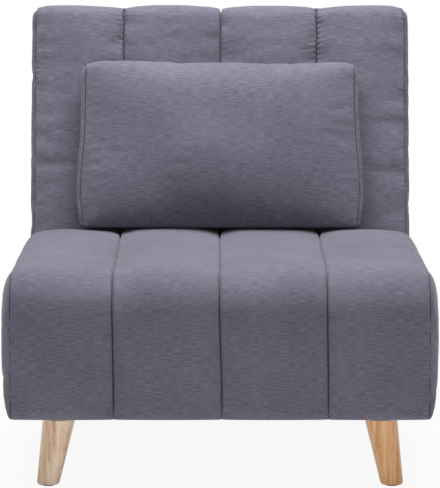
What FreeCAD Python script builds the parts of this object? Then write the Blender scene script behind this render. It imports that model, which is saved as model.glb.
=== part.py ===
"""A convertible chair bed: a fixed seat block on four wooden legs, a back that reclines until it lies level
with the seat, and a head section that is folded behind the back and turns over its top edge to make the
bed's third part.

X runs across the chair, Y from front to back, Z up. The origin is on the floor, under the middle of the
chair. The back and the head section are drawn in the back's own frame: X across, Y square to its face, Z up
along it.
"""
import FreeCAD, Part
import math
import os

V = FreeCAD.Vector

SIZES = {
    # Seat block
    "panel_width": 742.0,
    "seat_depth": 588.0,
    "seat_top": 401.0,
    "block_bottom": 127.0,
    "seat_front_radius": 72.0,
    "seat_edge_radius": 20.0,
    "seat_undercut": 62.0,
    "seat_rear_lip": 70.0,
    "seat_side_bulge": 27.0,
    "seat_side_draw": 88.0,
    "seam_share": 0.5175,
    "channel_crown": 8.0,
    "cover_wall": 7.0,
    "fit_gap": 0.3,
    # Timber box and webbing inside the seat block
    "timber_thickness": 25.0,
    "timber_height": 140.0,
    "timber_margin": 28.0,
    "dust_cloth_thickness": 1.5,
    "strap_count": 6.0,
    "strap_width": 50.0,
    "strap_thickness": 2.5,
    # Back
    "lean_angle": 15.0,
    "back_above": 450.0,
    "back_below": 172.0,
    "back_thickness": 95.0,
    "back_edge_radius": 28.0,
    "back_side_bulge": 7.0,
    "back_side_draw": 22.0,
    "back_side_inset": 4.0,
    "board_edge_radius": 6.0,
    "board_thickness": 12.0,
    "board_margin": 18.0,
    "seat_to_back_gap": 4.0,
    # Head section
    "layer_gap": 24.0,
    "head_below": 60.0,
    "head_thickness": 95.0,
    "flip_axis_rise": 2.0,
    "flip_hinge_inset": 161.0,
    "flip_leaf_thickness": 3.0,
    "flip_leaf_height": 60.0,
    "flip_leaf_drop": 8.0,
    "flip_knuckle_radius": 5.5,
    "flip_knuckle_width": 24.0,
    "flip_knuckle_gap": 0.3,
    "flip_pin_radius": 2.5,
    # Steel base
    "rail_size": 25.0,
    "rail_wall": 2.0,
    "rail_inset": 71.0,
    "rail_front_setback": 215.0,
    "rail_overhang": 190.0,
    "rear_cross_setback": 40.0,
    "rail_cap_thickness": 3.0,
    "rail_bolt_radius": 3.0,
    "rail_bolt_grip": 30.0,
    # Recline hinges
    "plate_thickness": 5.0,
    "hinge_boss_radius": 17.5,
    "hinge_neck_inset": 1.0,
    "hinge_pin_radius": 6.0,
    "hinge_pin_head_rim": 4.0,
    "hinge_pin_head_height": 3.0,
    "bore_clearance": 0.05,
    "washer_thickness": 1.0,
    "arm_height": 125.0,
    "arm_rise": 4.0,
    "flange_thickness": 4.0,
    "flange_width": 36.0,
    "arm_bolt_radius": 3.0,
    "bolt_head_height": 4.0,
    # Wooden legs
    "leg_top_width": 60.0,
    "leg_foot_width": 42.0,
    "leg_foot_inset": 56.0,
    "leg_top_inset": 78.0,
    "leg_corner_share": 0.36,
    "leg_foot_bevel": 4.0,
    "leg_plate_size": 54.0,
    "leg_plate_thickness": 2.5,
    "front_leg_setback": 47.0,
    "rear_leg_setback": 4.0,
    "glide_radius": 13.0,
    "glide_thickness": 3.0,
    "leg_bolt_radius": 4.0,
    "leg_bolt_depth": 32.0,
    # Folding leg of the head section
    "tube_radius": 10.0,
    "tube_wall": 1.5,
    "tube_bend_radius": 55.0,
    "tube_inset": 91.0,
    "leg_pivot_inset": 34.0,
    "leg_floor_gap": 2.0,
    "leg_pin_radius": 4.0,
    "ear_thickness": 3.0,
    "ear_radius": 9.0,
    "ear_clearance": 0.6,
    "sleeve_length": 50.0,
    "sleeve_wall": 1.8,
    "sleeve_inset": 125.0,
    # Pillow
    "pillow_width": 556.0,
    "pillow_height": 326.0,
    "pillow_thickness": 118.0,
    "pillow_gusset": 64.0,
    "pillow_rear_crown": 8.0,
    "pillow_wadding": 15.0,
    "pillow_gap": 0.5,
}

doc = FreeCAD.newDocument("chair_bed")
sheet = doc.addObject("Spreadsheet::Sheet", "Sizes")
for row, (name, value) in enumerate(SIZES.items(), start=1):
    sheet.set(f"A{row}", name)
    sheet.set(f"B{row}", str(value))
    sheet.setAlias(f"B{row}", name)
doc.recompute()


def size(name):
    """A driving dimension, read from the sheet."""
    return float(getattr(sheet, name))


PIECES = []


def piece(obj, label):
    """Marks an object as a finished piece whose file is named by its label."""
    obj.Label = label
    PIECES.append(obj)
    return obj


# Places that several pieces share

seat_depth = size("seat_depth")
seat_top = size("seat_top")
block_bottom = size("block_bottom")
half_panel = size("panel_width") / 2
back_thickness = size("back_thickness")
back_above = size("back_above")
back_below = size("back_below")
lean = math.radians(size("lean_angle"))
crown = size("channel_crown")
wall = size("cover_wall")
fit = size("fit_gap")
plate = size("plate_thickness")
clearance = size("bore_clearance")
seam_spacing = half_panel * size("seam_share")

head_inner = back_thickness + size("layer_gap")
head_outer = head_inner + size("head_thickness")
rear_reach = back_above * math.sin(lean) + head_outer * math.cos(lean)
back_line = (seat_depth - rear_reach) / 2
seat_front = back_line - seat_depth
back_turn = FreeCAD.Rotation(V(1, 0, 0), -size("lean_angle"))
back_frame = FreeCAD.Placement(V(0, back_line, seat_top), back_turn)

# The recline turns the back's lower edge up to the level of the seat. Its axis lies where that edge's two
# places, leaning and flat, are equally far away.
recline = math.radians(90 - size("lean_angle"))
low_start = V(0, -back_below * math.sin(lean), -back_below * math.cos(lean))
low_end = V(0, size("seat_to_back_gap"), 0)
chord = low_end - low_start
reach = chord.Length / 2 / math.tan(recline / 2)
axis_from_line = (low_start + low_end) * 0.5 + V(0, chord.z, -chord.y).normalize() * reach
hinge_y = back_line + axis_from_line.y
hinge_z = seat_top + axis_from_line.z
hinge_local = back_frame.inverse().multVec(V(0, hinge_y, hinge_z))

flip_y = back_thickness + size("layer_gap") / 2
flip_z = back_above + size("flip_axis_rise")


# Shapes

def rounded_wire(corners, x):
    """A closed wire in the plane at x, from corners (y, z, radius): lines joined by tangent arcs."""
    edges = []
    ends = []
    count = len(corners)
    for i, (y, z, radius) in enumerate(corners):
        here = V(x, y, z)
        before = (V(x, *corners[i - 1][:2]) - here).normalize()
        after = (V(x, *corners[(i + 1) % count][:2]) - here).normalize()
        half_turn = before.getAngle(after) / 2
        cut = radius / math.tan(half_turn)
        middle = (before + after).normalize()
        centre = here + middle * (radius / math.sin(half_turn))
        ends.append((here + before * cut, centre - middle * radius, here + after * cut))
    for i, (start, middle, end) in enumerate(ends):
        edges.append(Part.Arc(start, middle, end).toShape())
        edges.append(Part.makeLine(end, ends[(i + 1) % count][0]))
    return Part.Wire(edges)


def prism(outline, inset, half_width):
    """A plain block: the outline at an inset, drawn across the chair."""
    face = Part.Face(rounded_wire(outline(inset), -half_width))
    return face.extrude(V(2 * half_width, 0, 0))


def channels(outline, half_width, spacing):
    """Four padded channels side by side, crowned between the seams where the cover is drawn in."""
    seams = [-half_width, -spacing, 0.0, spacing, half_width]
    across = [0.0, 0.09, 0.5, 0.91, 1.0]
    drawn_in = [1.0, 0.42, 0.0, 0.42, 1.0]
    solids = []
    for left, right in zip(seams, seams[1:]):
        wires = []
        for share, depth in zip(across, drawn_in):
            wires.append(rounded_wire(outline(crown * depth), left + (right - left) * share))
        solids.append(Part.makeLoft(wires, True, False))
    return solids


def gusset(outline, half_width, steps, side):
    """A side panel that swells out from its seam: steps of (distance out, inset), side is -1 or 1."""
    wires = []
    for out, inset in steps:
        wires.append(rounded_wire(outline(crown + inset), side * (half_width + out)))
    return Part.makeLoft(wires, True, False)


def formed_block(outline, half_width, spacing, steps):
    """The whole outer form of a channelled cushion with its two gussets."""
    solids = channels(outline, half_width, spacing)
    solids += [gusset(outline, half_width, steps, side) for side in (-1, 1)]
    return solids[0].fuse(solids[1:]).removeSplitter()


def feature(label, shape, frame=None):
    """A piece whose form no primitive has."""
    obj = doc.addObject("Part::Feature", label)
    obj.Shape = shape
    if frame:
        obj.Placement = frame
    return piece(obj, label)


def box(name, length, width, height, corner, frame=None):
    """A box whose sizes are sheet expressions, with its low corner given in a frame."""
    obj = doc.addObject("Part::Box", name)
    obj.setExpression("Length", length)
    obj.setExpression("Width", width)
    obj.setExpression("Height", height)
    place = FreeCAD.Placement(V(*corner), FreeCAD.Rotation())
    obj.Placement = frame.multiply(place) if frame else place
    return obj


def rod(name, radius, length, start, direction, frame=None):
    """A round bar from a start point, with sheet expressions for its sizes."""
    obj = doc.addObject("Part::Cylinder", name)
    obj.setExpression("Radius", radius)
    obj.setExpression("Height", length)
    place = FreeCAD.Placement(V(*start), FreeCAD.Rotation(V(0, 0, 1), V(*direction)))
    obj.Placement = frame.multiply(place) if frame else place
    return obj


def cut(name, base, tool):
    obj = doc.addObject("Part::Cut", name)
    obj.Base = base
    obj.Tool = tool
    return obj


def fuse(name, objects):
    obj = doc.addObject("Part::MultiFuse", name)
    obj.Shapes = objects
    return obj


def group(name, objects):
    """Identical solids that share one node."""
    obj = doc.addObject("Part::Compound", name)
    obj.Links = objects
    return piece(obj, name)


# Seat block

def seat_outline(inset):
    """The seat block's side profile, drawn in towards its middle by an inset."""
    front = seat_front + inset
    bottom = block_bottom + inset
    top = seat_top - inset
    rear_top = back_line - size("seat_to_back_gap") - 1.5 * inset
    rear = back_line - size("seat_undercut") - 1.05 * inset
    lip = seat_top - size("seat_rear_lip") - 0.6 * inset
    shrink = 1 - inset / (2.5 * size("seat_front_radius"))
    edge = size("seat_edge_radius") * shrink
    return [
        (front, bottom, edge),
        (front, top, size("seat_front_radius") * shrink),
        (rear_top, top, edge * 0.9),
        (rear, lip, edge),
        (rear, bottom, edge),
    ]


bulge = size("seat_side_bulge")
draw = size("seat_side_draw")
swell_shares = [(0, 0), (0.4, 0.045), (0.68, 0.23), (0.83, 0.48), (0.95, 0.75), (1, 1)]
seat_steps = [(bulge * out, draw * drawn_in) for out, drawn_in in swell_shares]

core_inset = crown + wall
timber = size("timber_thickness")
margin = size("timber_margin")
cavity_half = half_panel - margin
cavity_front = seat_front + margin
cavity_rear = back_line - size("seat_undercut") - margin
cavity_top = block_bottom + size("timber_height")
cloth = size("dust_cloth_thickness")

seat_core = prism(seat_outline, core_inset, half_panel - wall)
cavity = Part.makeBox(2 * cavity_half, cavity_rear - cavity_front, cavity_top - block_bottom + margin)
cavity.translate(V(-cavity_half, cavity_front, block_bottom - margin))
seat_form = formed_block(seat_outline, half_panel, seam_spacing, seat_steps)
feature("seat_cover", seat_form.cut(seat_core).cut(cavity))
feature("seat_foam", prism(seat_outline, core_inset + fit, half_panel - wall - fit).cut(cavity))

rail_size = size("rail_size")
rail_wall = size("rail_wall")
rail_x = half_panel - size("rail_inset")
rail_front = seat_front + size("rail_front_setback")
rail_rear = back_line + size("rail_overhang")
rail_z = block_bottom - rail_size
frame_half = cavity_half - fit
rail_bolt = size("rail_bolt_radius")
BOLT_PLACES = {
    "front_left": (-(frame_half - timber / 2), rail_front - rail_size / 2),
    "front_right": (frame_half - timber / 2, rail_front - rail_size / 2),
    "rear_left": (-rail_x, cavity_rear - fit - timber / 2),
    "rear_right": (rail_x, cavity_rear - fit - timber / 2),
}


def bolt_bores(owner, places):
    """The bores that the rail bolts need in a piece, from the rails' underside up into the timber."""
    length = "Sizes.rail_size + Sizes.rail_bolt_grip"
    bores = []
    for place in places:
        start = (*BOLT_PLACES[place], rail_z)
        bores.append(rod(f"{owner}_{place}", "Sizes.rail_bolt_radius", length, start, (0, 0, 1)))
    return bores


timber_z = block_bottom + cloth
side_length = cavity_rear - cavity_front - 2 * fit
inner_timber = 2 * (frame_half - timber)
frame_low = cavity_front + fit
rear_low = cavity_rear - fit - timber
timber_top = "Sizes.timber_height - Sizes.dust_cloth_thickness - Sizes.strap_thickness - 2 * Sizes.fit_gap"
for name, side, bolt in (("timber_rail_left", -1, "front_left"), ("timber_rail_right", 1, "front_right")):
    low_x = side * frame_half - (timber if side > 0 else 0)
    corner = (low_x, frame_low, timber_z)
    blank = box(f"{name}_blank", "Sizes.timber_thickness", str(side_length), timber_top, corner)
    piece(cut(name, blank, bolt_bores(name, [bolt])[0]), name)
front_corner = (-inner_timber / 2, frame_low, timber_z)
front_timber = box("timber_front", str(inner_timber), "Sizes.timber_thickness", timber_top, front_corner)
piece(front_timber, "timber_rail_front")
rear_corner = (-inner_timber / 2, rear_low, timber_z)
inner_length = str(inner_timber)
rear_blank = box("timber_rear_blank", inner_length, "Sizes.timber_thickness", timber_top, rear_corner)
rear_bores = fuse("timber_rear_bores", bolt_bores("timber_rear", ["rear_left", "rear_right"]))
piece(cut("timber_rear", rear_blank, rear_bores), "timber_rail_rear")

straps = []
strap_count = int(size("strap_count"))
strap_z = cavity_top - 2 * fit - size("strap_thickness")
strap_length = str(2 * frame_half)
for i in range(strap_count):
    pitch = side_length / strap_count
    low_y = frame_low + pitch * (i + 0.5) - size("strap_width") / 2
    corner = (-frame_half, low_y, strap_z)
    straps.append(box(f"strap_{i}", strap_length, "Sizes.strap_width", "Sizes.strap_thickness", corner))
group("webbing_straps", straps)

cloth_corner = (-frame_half, frame_low, block_bottom)
cloth_blank = box("cloth_blank", strap_length, str(side_length), "Sizes.dust_cloth_thickness", cloth_corner)
cloth_bores = fuse("cloth_bores", bolt_bores("cloth", BOLT_PLACES))
piece(cut("dust_cloth_cut", cloth_blank, cloth_bores), "dust_cloth")


# Steel base under the seat block: two rails that butt against a front tube, and a tube between them at the rear

rail_length = str(rail_rear - rail_front)
hollow = "Sizes.rail_size - 2 * Sizes.rail_wall"
square = "Sizes.rail_size"
for name, side, bolt in (("base_rail_left", -1, "rear_left"), ("base_rail_right", 1, "rear_right")):
    low_x = side * rail_x - rail_size / 2
    outer = box(f"{name}_outer", square, rail_length, square, (low_x, rail_front, rail_z))
    inner_corner = (low_x + rail_wall, rail_front, rail_z + rail_wall)
    inner = box(f"{name}_bore", hollow, rail_length, hollow, inner_corner)
    piece(cut(name, outer, fuse(f"{name}_room", [inner, *bolt_bores(name, [bolt])])), name)

cross_tubes = []
for name, half_length, low_y, places in (
    ("front_cross", frame_half, rail_front - rail_size, ["front_left", "front_right"]),
    ("rear_cross", rail_x - rail_size / 2, back_line + size("rear_cross_setback"), []),
):
    length = str(2 * half_length)
    outer = box(f"{name}_outer", length, square, square, (-half_length, low_y, rail_z))
    inner_corner = (-half_length, low_y + rail_wall, rail_z + rail_wall)
    inner = box(f"{name}_bore", length, hollow, hollow, inner_corner)
    room = fuse(f"{name}_room", [inner, *bolt_bores(name, places)]) if places else inner
    cross_tubes.append(cut(name, outer, room))
group("cross_tubes", cross_tubes)

cap = size("rail_cap_thickness")
caps = []
for side in (-1, 1):
    rear = (side * rail_x - rail_size / 2, rail_rear, rail_z)
    caps.append(box(f"rear_cap_{side}", square, "Sizes.rail_cap_thickness", square, rear))
    front = (side * frame_half - (cap if side < 0 else 0), rail_front - rail_size, rail_z)
    caps.append(box(f"front_cap_{side}", "Sizes.rail_cap_thickness", square, square, front))
group("rail_end_caps", caps)

bolt_parts = []
for place, (x, y) in BOLT_PLACES.items():
    shank = Part.makeCylinder(rail_bolt, rail_size + size("rail_bolt_grip"), V(x, y, rail_z))
    head_height = size("bolt_head_height")
    head = Part.makeCylinder(2 * rail_bolt, head_height, V(x, y, rail_z - head_height))
    bolt_parts.append(shank.fuse(head))
feature("rail_bolts", Part.makeCompound(bolt_parts))


# Wooden legs with their plates, bolts and glides

def leg_x(z):
    """How far from the middle a leg's axis is at a height."""
    slope = (size("leg_top_inset") - size("leg_foot_inset")) / block_bottom
    return half_panel - size("leg_foot_inset") - slope * z


def leg(label, side, y, top_z):
    """A leg with rounded corners that narrows and splays out towards the foot."""
    foot = size("glide_thickness")
    bevel = size("leg_foot_bevel")
    share = top_z / block_bottom
    top_x = leg_x(top_z)
    foot_width = size("leg_foot_width")
    top_width = foot_width + (size("leg_top_width") - foot_width) * share
    sections = [
        (foot, foot_width - bevel, leg_x(foot)),
        (foot + bevel, foot_width, leg_x(foot + bevel)),
        (top_z, top_width, top_x),
    ]
    wires = []
    for z, width, offset in sections:
        radius = width * size("leg_corner_share")
        half = width / 2
        flat = [(-half, -half, radius), (half, -half, radius), (half, half, radius), (-half, half, radius)]
        wire = rounded_wire(flat, 0)
        wire.rotate(V(0, 0, 0), V(0, 1, 0), 90)
        wire.rotate(V(0, 0, 0), V(0, 0, 1), 90)
        wire.translate(V(side * offset, y, z))
        wires.append(wire)
    socket = Part.makeCylinder(size("leg_bolt_radius"), bolt_depth, V(side * top_x, y, top_z - bolt_depth))
    return feature(label, Part.makeLoft(wires, True, True).cut(socket))


bolt_depth = size("leg_bolt_depth")
leg_plate = size("leg_plate_thickness")
front_leg_y = seat_front + size("front_leg_setback")
rear_leg_y = rail_rear - size("leg_plate_size") / 2 - size("rear_leg_setback")
places = []
for side, word in ((-1, "left"), (1, "right")):
    for end, y, top in (("front", front_leg_y, block_bottom), ("rear", rear_leg_y, rail_z)):
        leg(f"{end}_leg_{word}", side, y, top - leg_plate)
        places.append((side, y, top))

plates = []
bolts = []
glides = []
for i, (side, y, top) in enumerate(places):
    half = size("leg_plate_size") / 2
    x = side * leg_x(top - leg_plate)
    corner = (x - half, y - half, top - leg_plate)
    thick = "Sizes.leg_plate_thickness"
    blank = box(f"plate_blank_{i}", "Sizes.leg_plate_size", "Sizes.leg_plate_size", thick, corner)
    hole = rod(f"plate_hole_{i}", "Sizes.leg_bolt_radius", thick, (x, y, top - leg_plate), (0, 0, 1))
    plates.append(cut(f"leg_plate_{i}", blank, hole))
    low = top - leg_plate - bolt_depth
    length = "Sizes.leg_bolt_depth + Sizes.leg_plate_thickness"
    bolts.append(rod(f"leg_bolt_{i}", "Sizes.leg_bolt_radius", length, (x, y, low), (0, 0, 1)))
    foot_x = side * leg_x(size("glide_thickness"))
    glides.append(rod(f"glide_{i}", "Sizes.glide_radius", "Sizes.glide_thickness", (foot_x, y, 0), (0, 0, 1)))
group("leg_plates", plates)
group("leg_bolts", bolts)
group("foot_glides", glides)


# Recline hinges: a plate that stands up from each base rail, an arm on the back board, a pin and a washer

boss = size("hinge_boss_radius")
bore = size("hinge_pin_radius") + clearance
washer = size("washer_thickness")
neck_half = boss - size("hinge_neck_inset")
flange_thickness = size("flange_thickness")
flange_width = size("flange_width")
arm_height = size("arm_height")
arm_low = -back_below + size("board_margin") + size("arm_rise")
arm_bolt_radius = size("arm_bolt_radius")
bracket_in = rail_x + rail_size / 2
arm_in = bracket_in + plate + washer


def hinge_plate(body):
    """A plate with a round boss and a bore at the hinge axis, drawn about that axis."""
    shape = body.fuse(Part.makeCylinder(boss, plate, V(0, 0, 0), V(1, 0, 0)))
    return shape.cut(Part.makeCylinder(bore, plate, V(0, 0, 0), V(1, 0, 0)))


def bracket(label, side):
    low_x = side * bracket_in - (plate if side < 0 else 0)
    neck = Part.makeBox(plate, 2 * neck_half, hinge_z - rail_z, V(0, -neck_half, rail_z - hinge_z))
    foot = Part.makeBox(plate, 4 * neck_half, rail_size, V(0, -2 * neck_half, rail_z - hinge_z))
    place = FreeCAD.Placement(V(low_x, hinge_y, hinge_z), FreeCAD.Rotation())
    return feature(label, hinge_plate(neck.fuse(foot)), place)


def arm_holes(side):
    """The bolt axes of an arm's flange: (x, z) in the back's frame."""
    x = side * (arm_in + plate + flange_width / 2)
    return [(x, arm_low + share * arm_height) for share in (0.2, 0.8)]


def arm(label, side):
    """An angle: its flange lies on the back board, its web holds the hinge bore."""
    low_x = side * arm_in - (plate if side < 0 else 0)
    web_low = arm_low - hinge_local.z
    depth = back_thickness - hinge_local.y
    web = Part.makeBox(plate, -depth, arm_height, V(0, depth, web_low))
    flange_x = plate if side > 0 else -flange_width
    flange = Part.makeBox(flange_width, flange_thickness, arm_height, V(flange_x, depth, web_low))
    shape = hinge_plate(web).fuse(flange).removeSplitter()
    for x, z in arm_holes(side):
        start = V(x - low_x, depth, z - hinge_local.z)
        shape = shape.cut(Part.makeCylinder(arm_bolt_radius, flange_thickness, start, V(0, 1, 0)))
    place = FreeCAD.Placement(V(low_x, hinge_local.y, hinge_local.z), FreeCAD.Rotation())
    return feature(label, shape, back_frame.multiply(place))


for side, word in ((-1, "left"), (1, "right")):
    bracket(f"hinge_bracket_{word}", side)
    arm(f"hinge_arm_{word}", side)

pins = []
washers = []
rim = size("hinge_pin_head_rim")
pin_head = size("hinge_pin_head_height")
pin_length = 2 * plate + washer + 2 * pin_head
for side in (-1, 1):
    way = V(side, 0, 0)
    start = V(side * (bracket_in - pin_head), hinge_y, hinge_z)
    shaft = Part.makeCylinder(size("hinge_pin_radius"), pin_length, start, way)
    head = Part.makeCylinder(size("hinge_pin_radius") + rim, pin_head, start, way)
    pins.append(shaft.fuse(head))
    washer_start = V(side * (bracket_in + plate), hinge_y, hinge_z)
    ring = Part.makeCylinder(boss - rim, washer, washer_start, way)
    washers.append(ring.cut(Part.makeCylinder(bore, washer, washer_start, way)))
feature("hinge_pins", Part.makeCompound(pins))
feature("hinge_washers", Part.makeCompound(washers))


# Back

def panel_outline(low, high, front, rear):
    """The outline of a flat cushion whose face is at front and whose board side is at rear."""
    way = 1 if rear > front else -1

    def outline(inset):
        shrink = 1 - inset / (2 * size("back_edge_radius"))
        radius = size("back_edge_radius") * shrink
        small = size("board_edge_radius") * shrink
        return [
            (rear, low + inset, small),
            (front + way * inset, low + inset, radius),
            (front + way * inset, high - inset, radius),
            (rear, high - inset, small),
        ]
    return outline


side_bulge = size("back_side_bulge")
side_draw = size("back_side_draw")
panel_steps = [(0, 0), (side_bulge * 0.6, side_draw * 0.23), (side_bulge, side_draw)]
board = size("board_thickness")
panel_half = half_panel - size("back_side_inset")


def panel(word, low, high, front, board_front):
    """A channelled cushion on its board: cover, foam and board, in the back's frame."""
    outline = panel_outline(low, high, front, board_front)
    form = formed_block(outline, panel_half, seam_spacing, panel_steps)
    core = prism(outline, core_inset, panel_half - wall)
    feature(f"{word}_cover", form.cut(core), back_frame)
    feature(f"{word}_foam", prism(outline, core_inset + fit, panel_half - wall - fit), back_frame)


board_margin = size("board_margin")
panel("back", -back_below, back_above, 0, back_thickness - board)
panel("head", -size("head_below"), back_above, head_outer, head_inner + board)
for word, low, board_y in (
    ("back", -back_below, back_thickness - board),
    ("head", -size("head_below"), head_inner),
):
    width = str(2 * (panel_half - board_margin))
    height = str(back_above - low - 2 * board_margin)
    corner = (-(panel_half - board_margin), board_y, low + board_margin)
    blank = box(f"{word}_blank", width, "Sizes.board_thickness", height, corner, back_frame)
    if word == "head":
        piece(blank, "head_board")
        continue
    holes = []
    for side in (-1, 1):
        for x, z in arm_holes(side):
            name = f"arm_hole_{len(holes)}"
            start = (x, back_thickness - board, z)
            through = (0, 1, 0)
            length = "Sizes.board_thickness"
            holes.append(rod(name, "Sizes.arm_bolt_radius", length, start, through, back_frame))
    piece(cut("back_board_cut", blank, fuse("arm_hole_set", holes)), "back_board")

arm_bolts = []
for side in (-1, 1):
    for x, z in arm_holes(side):
        start = V(x, back_thickness - board, z)
        shank = Part.makeCylinder(arm_bolt_radius, board + flange_thickness, start, V(0, 1, 0))
        head_at = V(x, back_thickness + flange_thickness, z)
        head = Part.makeCylinder(2 * arm_bolt_radius, size("bolt_head_height"), head_at, V(0, 1, 0))
        arm_bolts.append(shank.fuse(head))
feature("arm_bolts", Part.makeCompound(arm_bolts), back_frame)


# Flip hinges between the back's top edge and the head section, each with leaves, knuckles and a pin

leaf = size("flip_leaf_thickness")
leaf_height = size("flip_leaf_height")
leaf_drop = size("flip_leaf_drop")
knuckle = size("flip_knuckle_radius")
knuckle_width = size("flip_knuckle_width")
leaf_gap = size("flip_knuckle_gap")
flip_pin = size("flip_pin_radius")
flip_x = half_panel - size("flip_hinge_inset")
leaf_width = 3 * knuckle_width + 2 * leaf_gap


def flip_leaf(centre_x, low, offsets):
    """A leaf on a board face, its near side at low, with knuckles round the flip axis on short webs."""
    top = flip_z - knuckle - leaf_drop
    bridge_low = min(low, flip_y)
    bridge_depth = max(low + leaf, flip_y) - bridge_low
    corner = V(centre_x - leaf_width / 2, low, top - leaf_height)
    shape = Part.makeBox(leaf_width, leaf, leaf_height, corner)
    for offset in offsets:
        x = centre_x + offset - knuckle_width / 2
        centre = V(x, flip_y, flip_z)
        ring = Part.makeCylinder(knuckle, knuckle_width, centre, V(1, 0, 0))
        web = Part.makeBox(knuckle_width, leaf, flip_z - top + leaf_drop, V(x, low, top - leaf_drop))
        bridge = Part.makeBox(knuckle_width, bridge_depth, leaf, V(x, bridge_low, flip_z - leaf))
        hole = Part.makeCylinder(flip_pin + clearance, knuckle_width, centre, V(1, 0, 0))
        shape = shape.fuse([ring, web, bridge]).cut(hole)
    return shape.removeSplitter()


step = knuckle_width + leaf_gap
back_leaves = []
head_leaves = []
flip_pins = []
for centre_x in (-flip_x, flip_x):
    back_leaves.append(flip_leaf(centre_x, back_thickness, (-step, step)))
    head_leaves.append(flip_leaf(centre_x, head_inner - leaf, (0,)))
    pin_start = V(centre_x - leaf_width / 2, flip_y, flip_z)
    flip_pins.append(Part.makeCylinder(flip_pin, leaf_width, pin_start, V(1, 0, 0)))
feature("flip_hinge_back_leaves", Part.makeCompound(back_leaves), back_frame)
feature("flip_hinge_head_leaves", Part.makeCompound(head_leaves), back_frame)
feature("flip_hinge_pins", Part.makeCompound(flip_pins), back_frame)


# Folding leg: a bent tube that hangs on two brackets near the head section's free end

leg_low = -size("head_below") + board_margin + size("leg_pivot_inset")
tube = size("tube_radius")
span = half_panel - size("tube_inset")
bend = size("tube_bend_radius")
leg_axis_y = flip_y
foot_line = leg_low + seat_top - leg_axis_y - tube - size("leg_floor_gap")


def leg_path():
    """Up one side, across the foot and down the other, in the gap between the two boards."""
    knee = bend * (1 - math.sqrt(0.5))
    low_left = V(-span, leg_axis_y, leg_low)
    high_left = V(-span, leg_axis_y, foot_line - bend)
    mid_left = V(-span + knee, leg_axis_y, foot_line - knee)
    top_left = V(-span + bend, leg_axis_y, foot_line)
    top_right = V(span - bend, leg_axis_y, foot_line)
    mid_right = V(span - knee, leg_axis_y, foot_line - knee)
    high_right = V(span, leg_axis_y, foot_line - bend)
    low_right = V(span, leg_axis_y, leg_low)
    return Part.Wire([
        Part.makeLine(low_left, high_left),
        Part.Arc(high_left, mid_left, top_left).toShape(),
        Part.makeLine(top_left, top_right),
        Part.Arc(top_right, mid_right, high_right).toShape(),
        Part.makeLine(high_right, low_right),
    ])


def swept(path, radius):
    circle = Part.makeCircle(radius, V(-span, leg_axis_y, leg_low), V(0, 0, 1))
    return path.makePipeShell([Part.Wire([circle])], True, False)


across = V(1, 0, 0)
leg_pin = size("leg_pin_radius")
tube_shape = swept(leg_path(), tube).cut(swept(leg_path(), tube - size("tube_wall")))
eyes = []
eye_holes = []
for side in (-1, 1):
    start = V(side * span - tube, leg_axis_y, leg_low)
    eyes.append(Part.makeCylinder(tube, 2 * tube, start, across))
    eye_holes.append(Part.makeCylinder(leg_pin + clearance, 2 * tube, start, across))
feature("head_leg", tube_shape.fuse(eyes).cut(eye_holes), back_frame)

sleeves = []
sleeve_length = size("sleeve_length")
for side in (-1, 1):
    start = V(side * (span - size("sleeve_inset")) - sleeve_length / 2, leg_axis_y, foot_line)
    ring = Part.makeCylinder(tube + size("sleeve_wall"), sleeve_length, start, across)
    sleeves.append(ring.cut(Part.makeCylinder(tube, sleeve_length, start, across)))
feature("leg_sleeves", Part.makeCompound(sleeves), back_frame)

brackets = []
leg_pins = []
cheek = size("ear_thickness")
ear_radius = size("ear_radius")
ear_x = tube + size("ear_clearance")
for side in (-1, 1):
    for way in (-1, 1):
        low_x = side * span + way * ear_x - (cheek if way < 0 else 0)
        centre = V(low_x, leg_axis_y, leg_low)
        corner = centre - V(0, 0, ear_radius)
        ear = Part.makeBox(cheek, head_inner - leg_axis_y, 2 * ear_radius, corner)
        ear = ear.fuse(Part.makeCylinder(ear_radius, cheek, centre, across))
        brackets.append(ear.cut(Part.makeCylinder(leg_pin, cheek, centre, across)))
    reach_x = ear_x + cheek
    pin_start = V(side * span - reach_x, leg_axis_y, leg_low)
    leg_pins.append(Part.makeCylinder(leg_pin, 2 * reach_x, pin_start, across))
feature("leg_brackets", Part.makeCompound(brackets), back_frame)
feature("leg_pins", Part.makeCompound(leg_pins), back_frame)


# Pillow

pillow_half = size("pillow_width") / 2
pillow_depth = size("pillow_gusset")
rear_crown = size("pillow_rear_crown")
front_crown = size("pillow_thickness") - pillow_depth - rear_crown
wadding = size("pillow_wadding")
pillow_low = size("pillow_gap") / math.cos(lean)


def pillow_wire(x, swell, shrink):
    """The pillow's section at x: a foot flat on the seat, a domed front and a slightly domed rear."""
    rear = -size("pillow_gap") - rear_crown - shrink
    front = rear - pillow_depth + 2 * shrink
    low = pillow_low + shrink
    high = pillow_low + size("pillow_height") - shrink
    middle = (low + high) / 2
    slope = math.tan(lean)
    foot = [V(x, rear, low + rear * slope), V(x, front, low + front * slope)]
    corners = [*foot, V(x, front, high), V(x, rear, high)]
    front_mid = V(x, front - front_crown * (0.02 + 0.98 * swell), middle)
    rear_mid = V(x, rear + rear_crown * (0.06 + 0.94 * swell), middle)
    return Part.Wire([
        Part.makeLine(corners[0], corners[1]),
        Part.Arc(corners[1], front_mid, corners[2]).toShape(),
        Part.makeLine(corners[2], corners[3]),
        Part.Arc(corners[3], rear_mid, corners[0]).toShape(),
    ])


def pillow_form(shrink):
    """The boxed pillow: its two faces swell from the gusset's seams towards the middle."""
    wires = []
    for share, swell in ((-1, 0), (-0.86, 0.5), (-0.5, 0.9), (0, 1), (0.5, 0.9), (0.86, 0.5), (1, 0)):
        wires.append(pillow_wire(share * (pillow_half - shrink), swell, shrink))
    return Part.makeLoft(wires, True, False)


feature("pillow_cover", pillow_form(0).cut(pillow_form(wadding)), back_frame)
feature("pillow_filling", pillow_form(wadding + fit), back_frame)


# Checks and files

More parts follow.
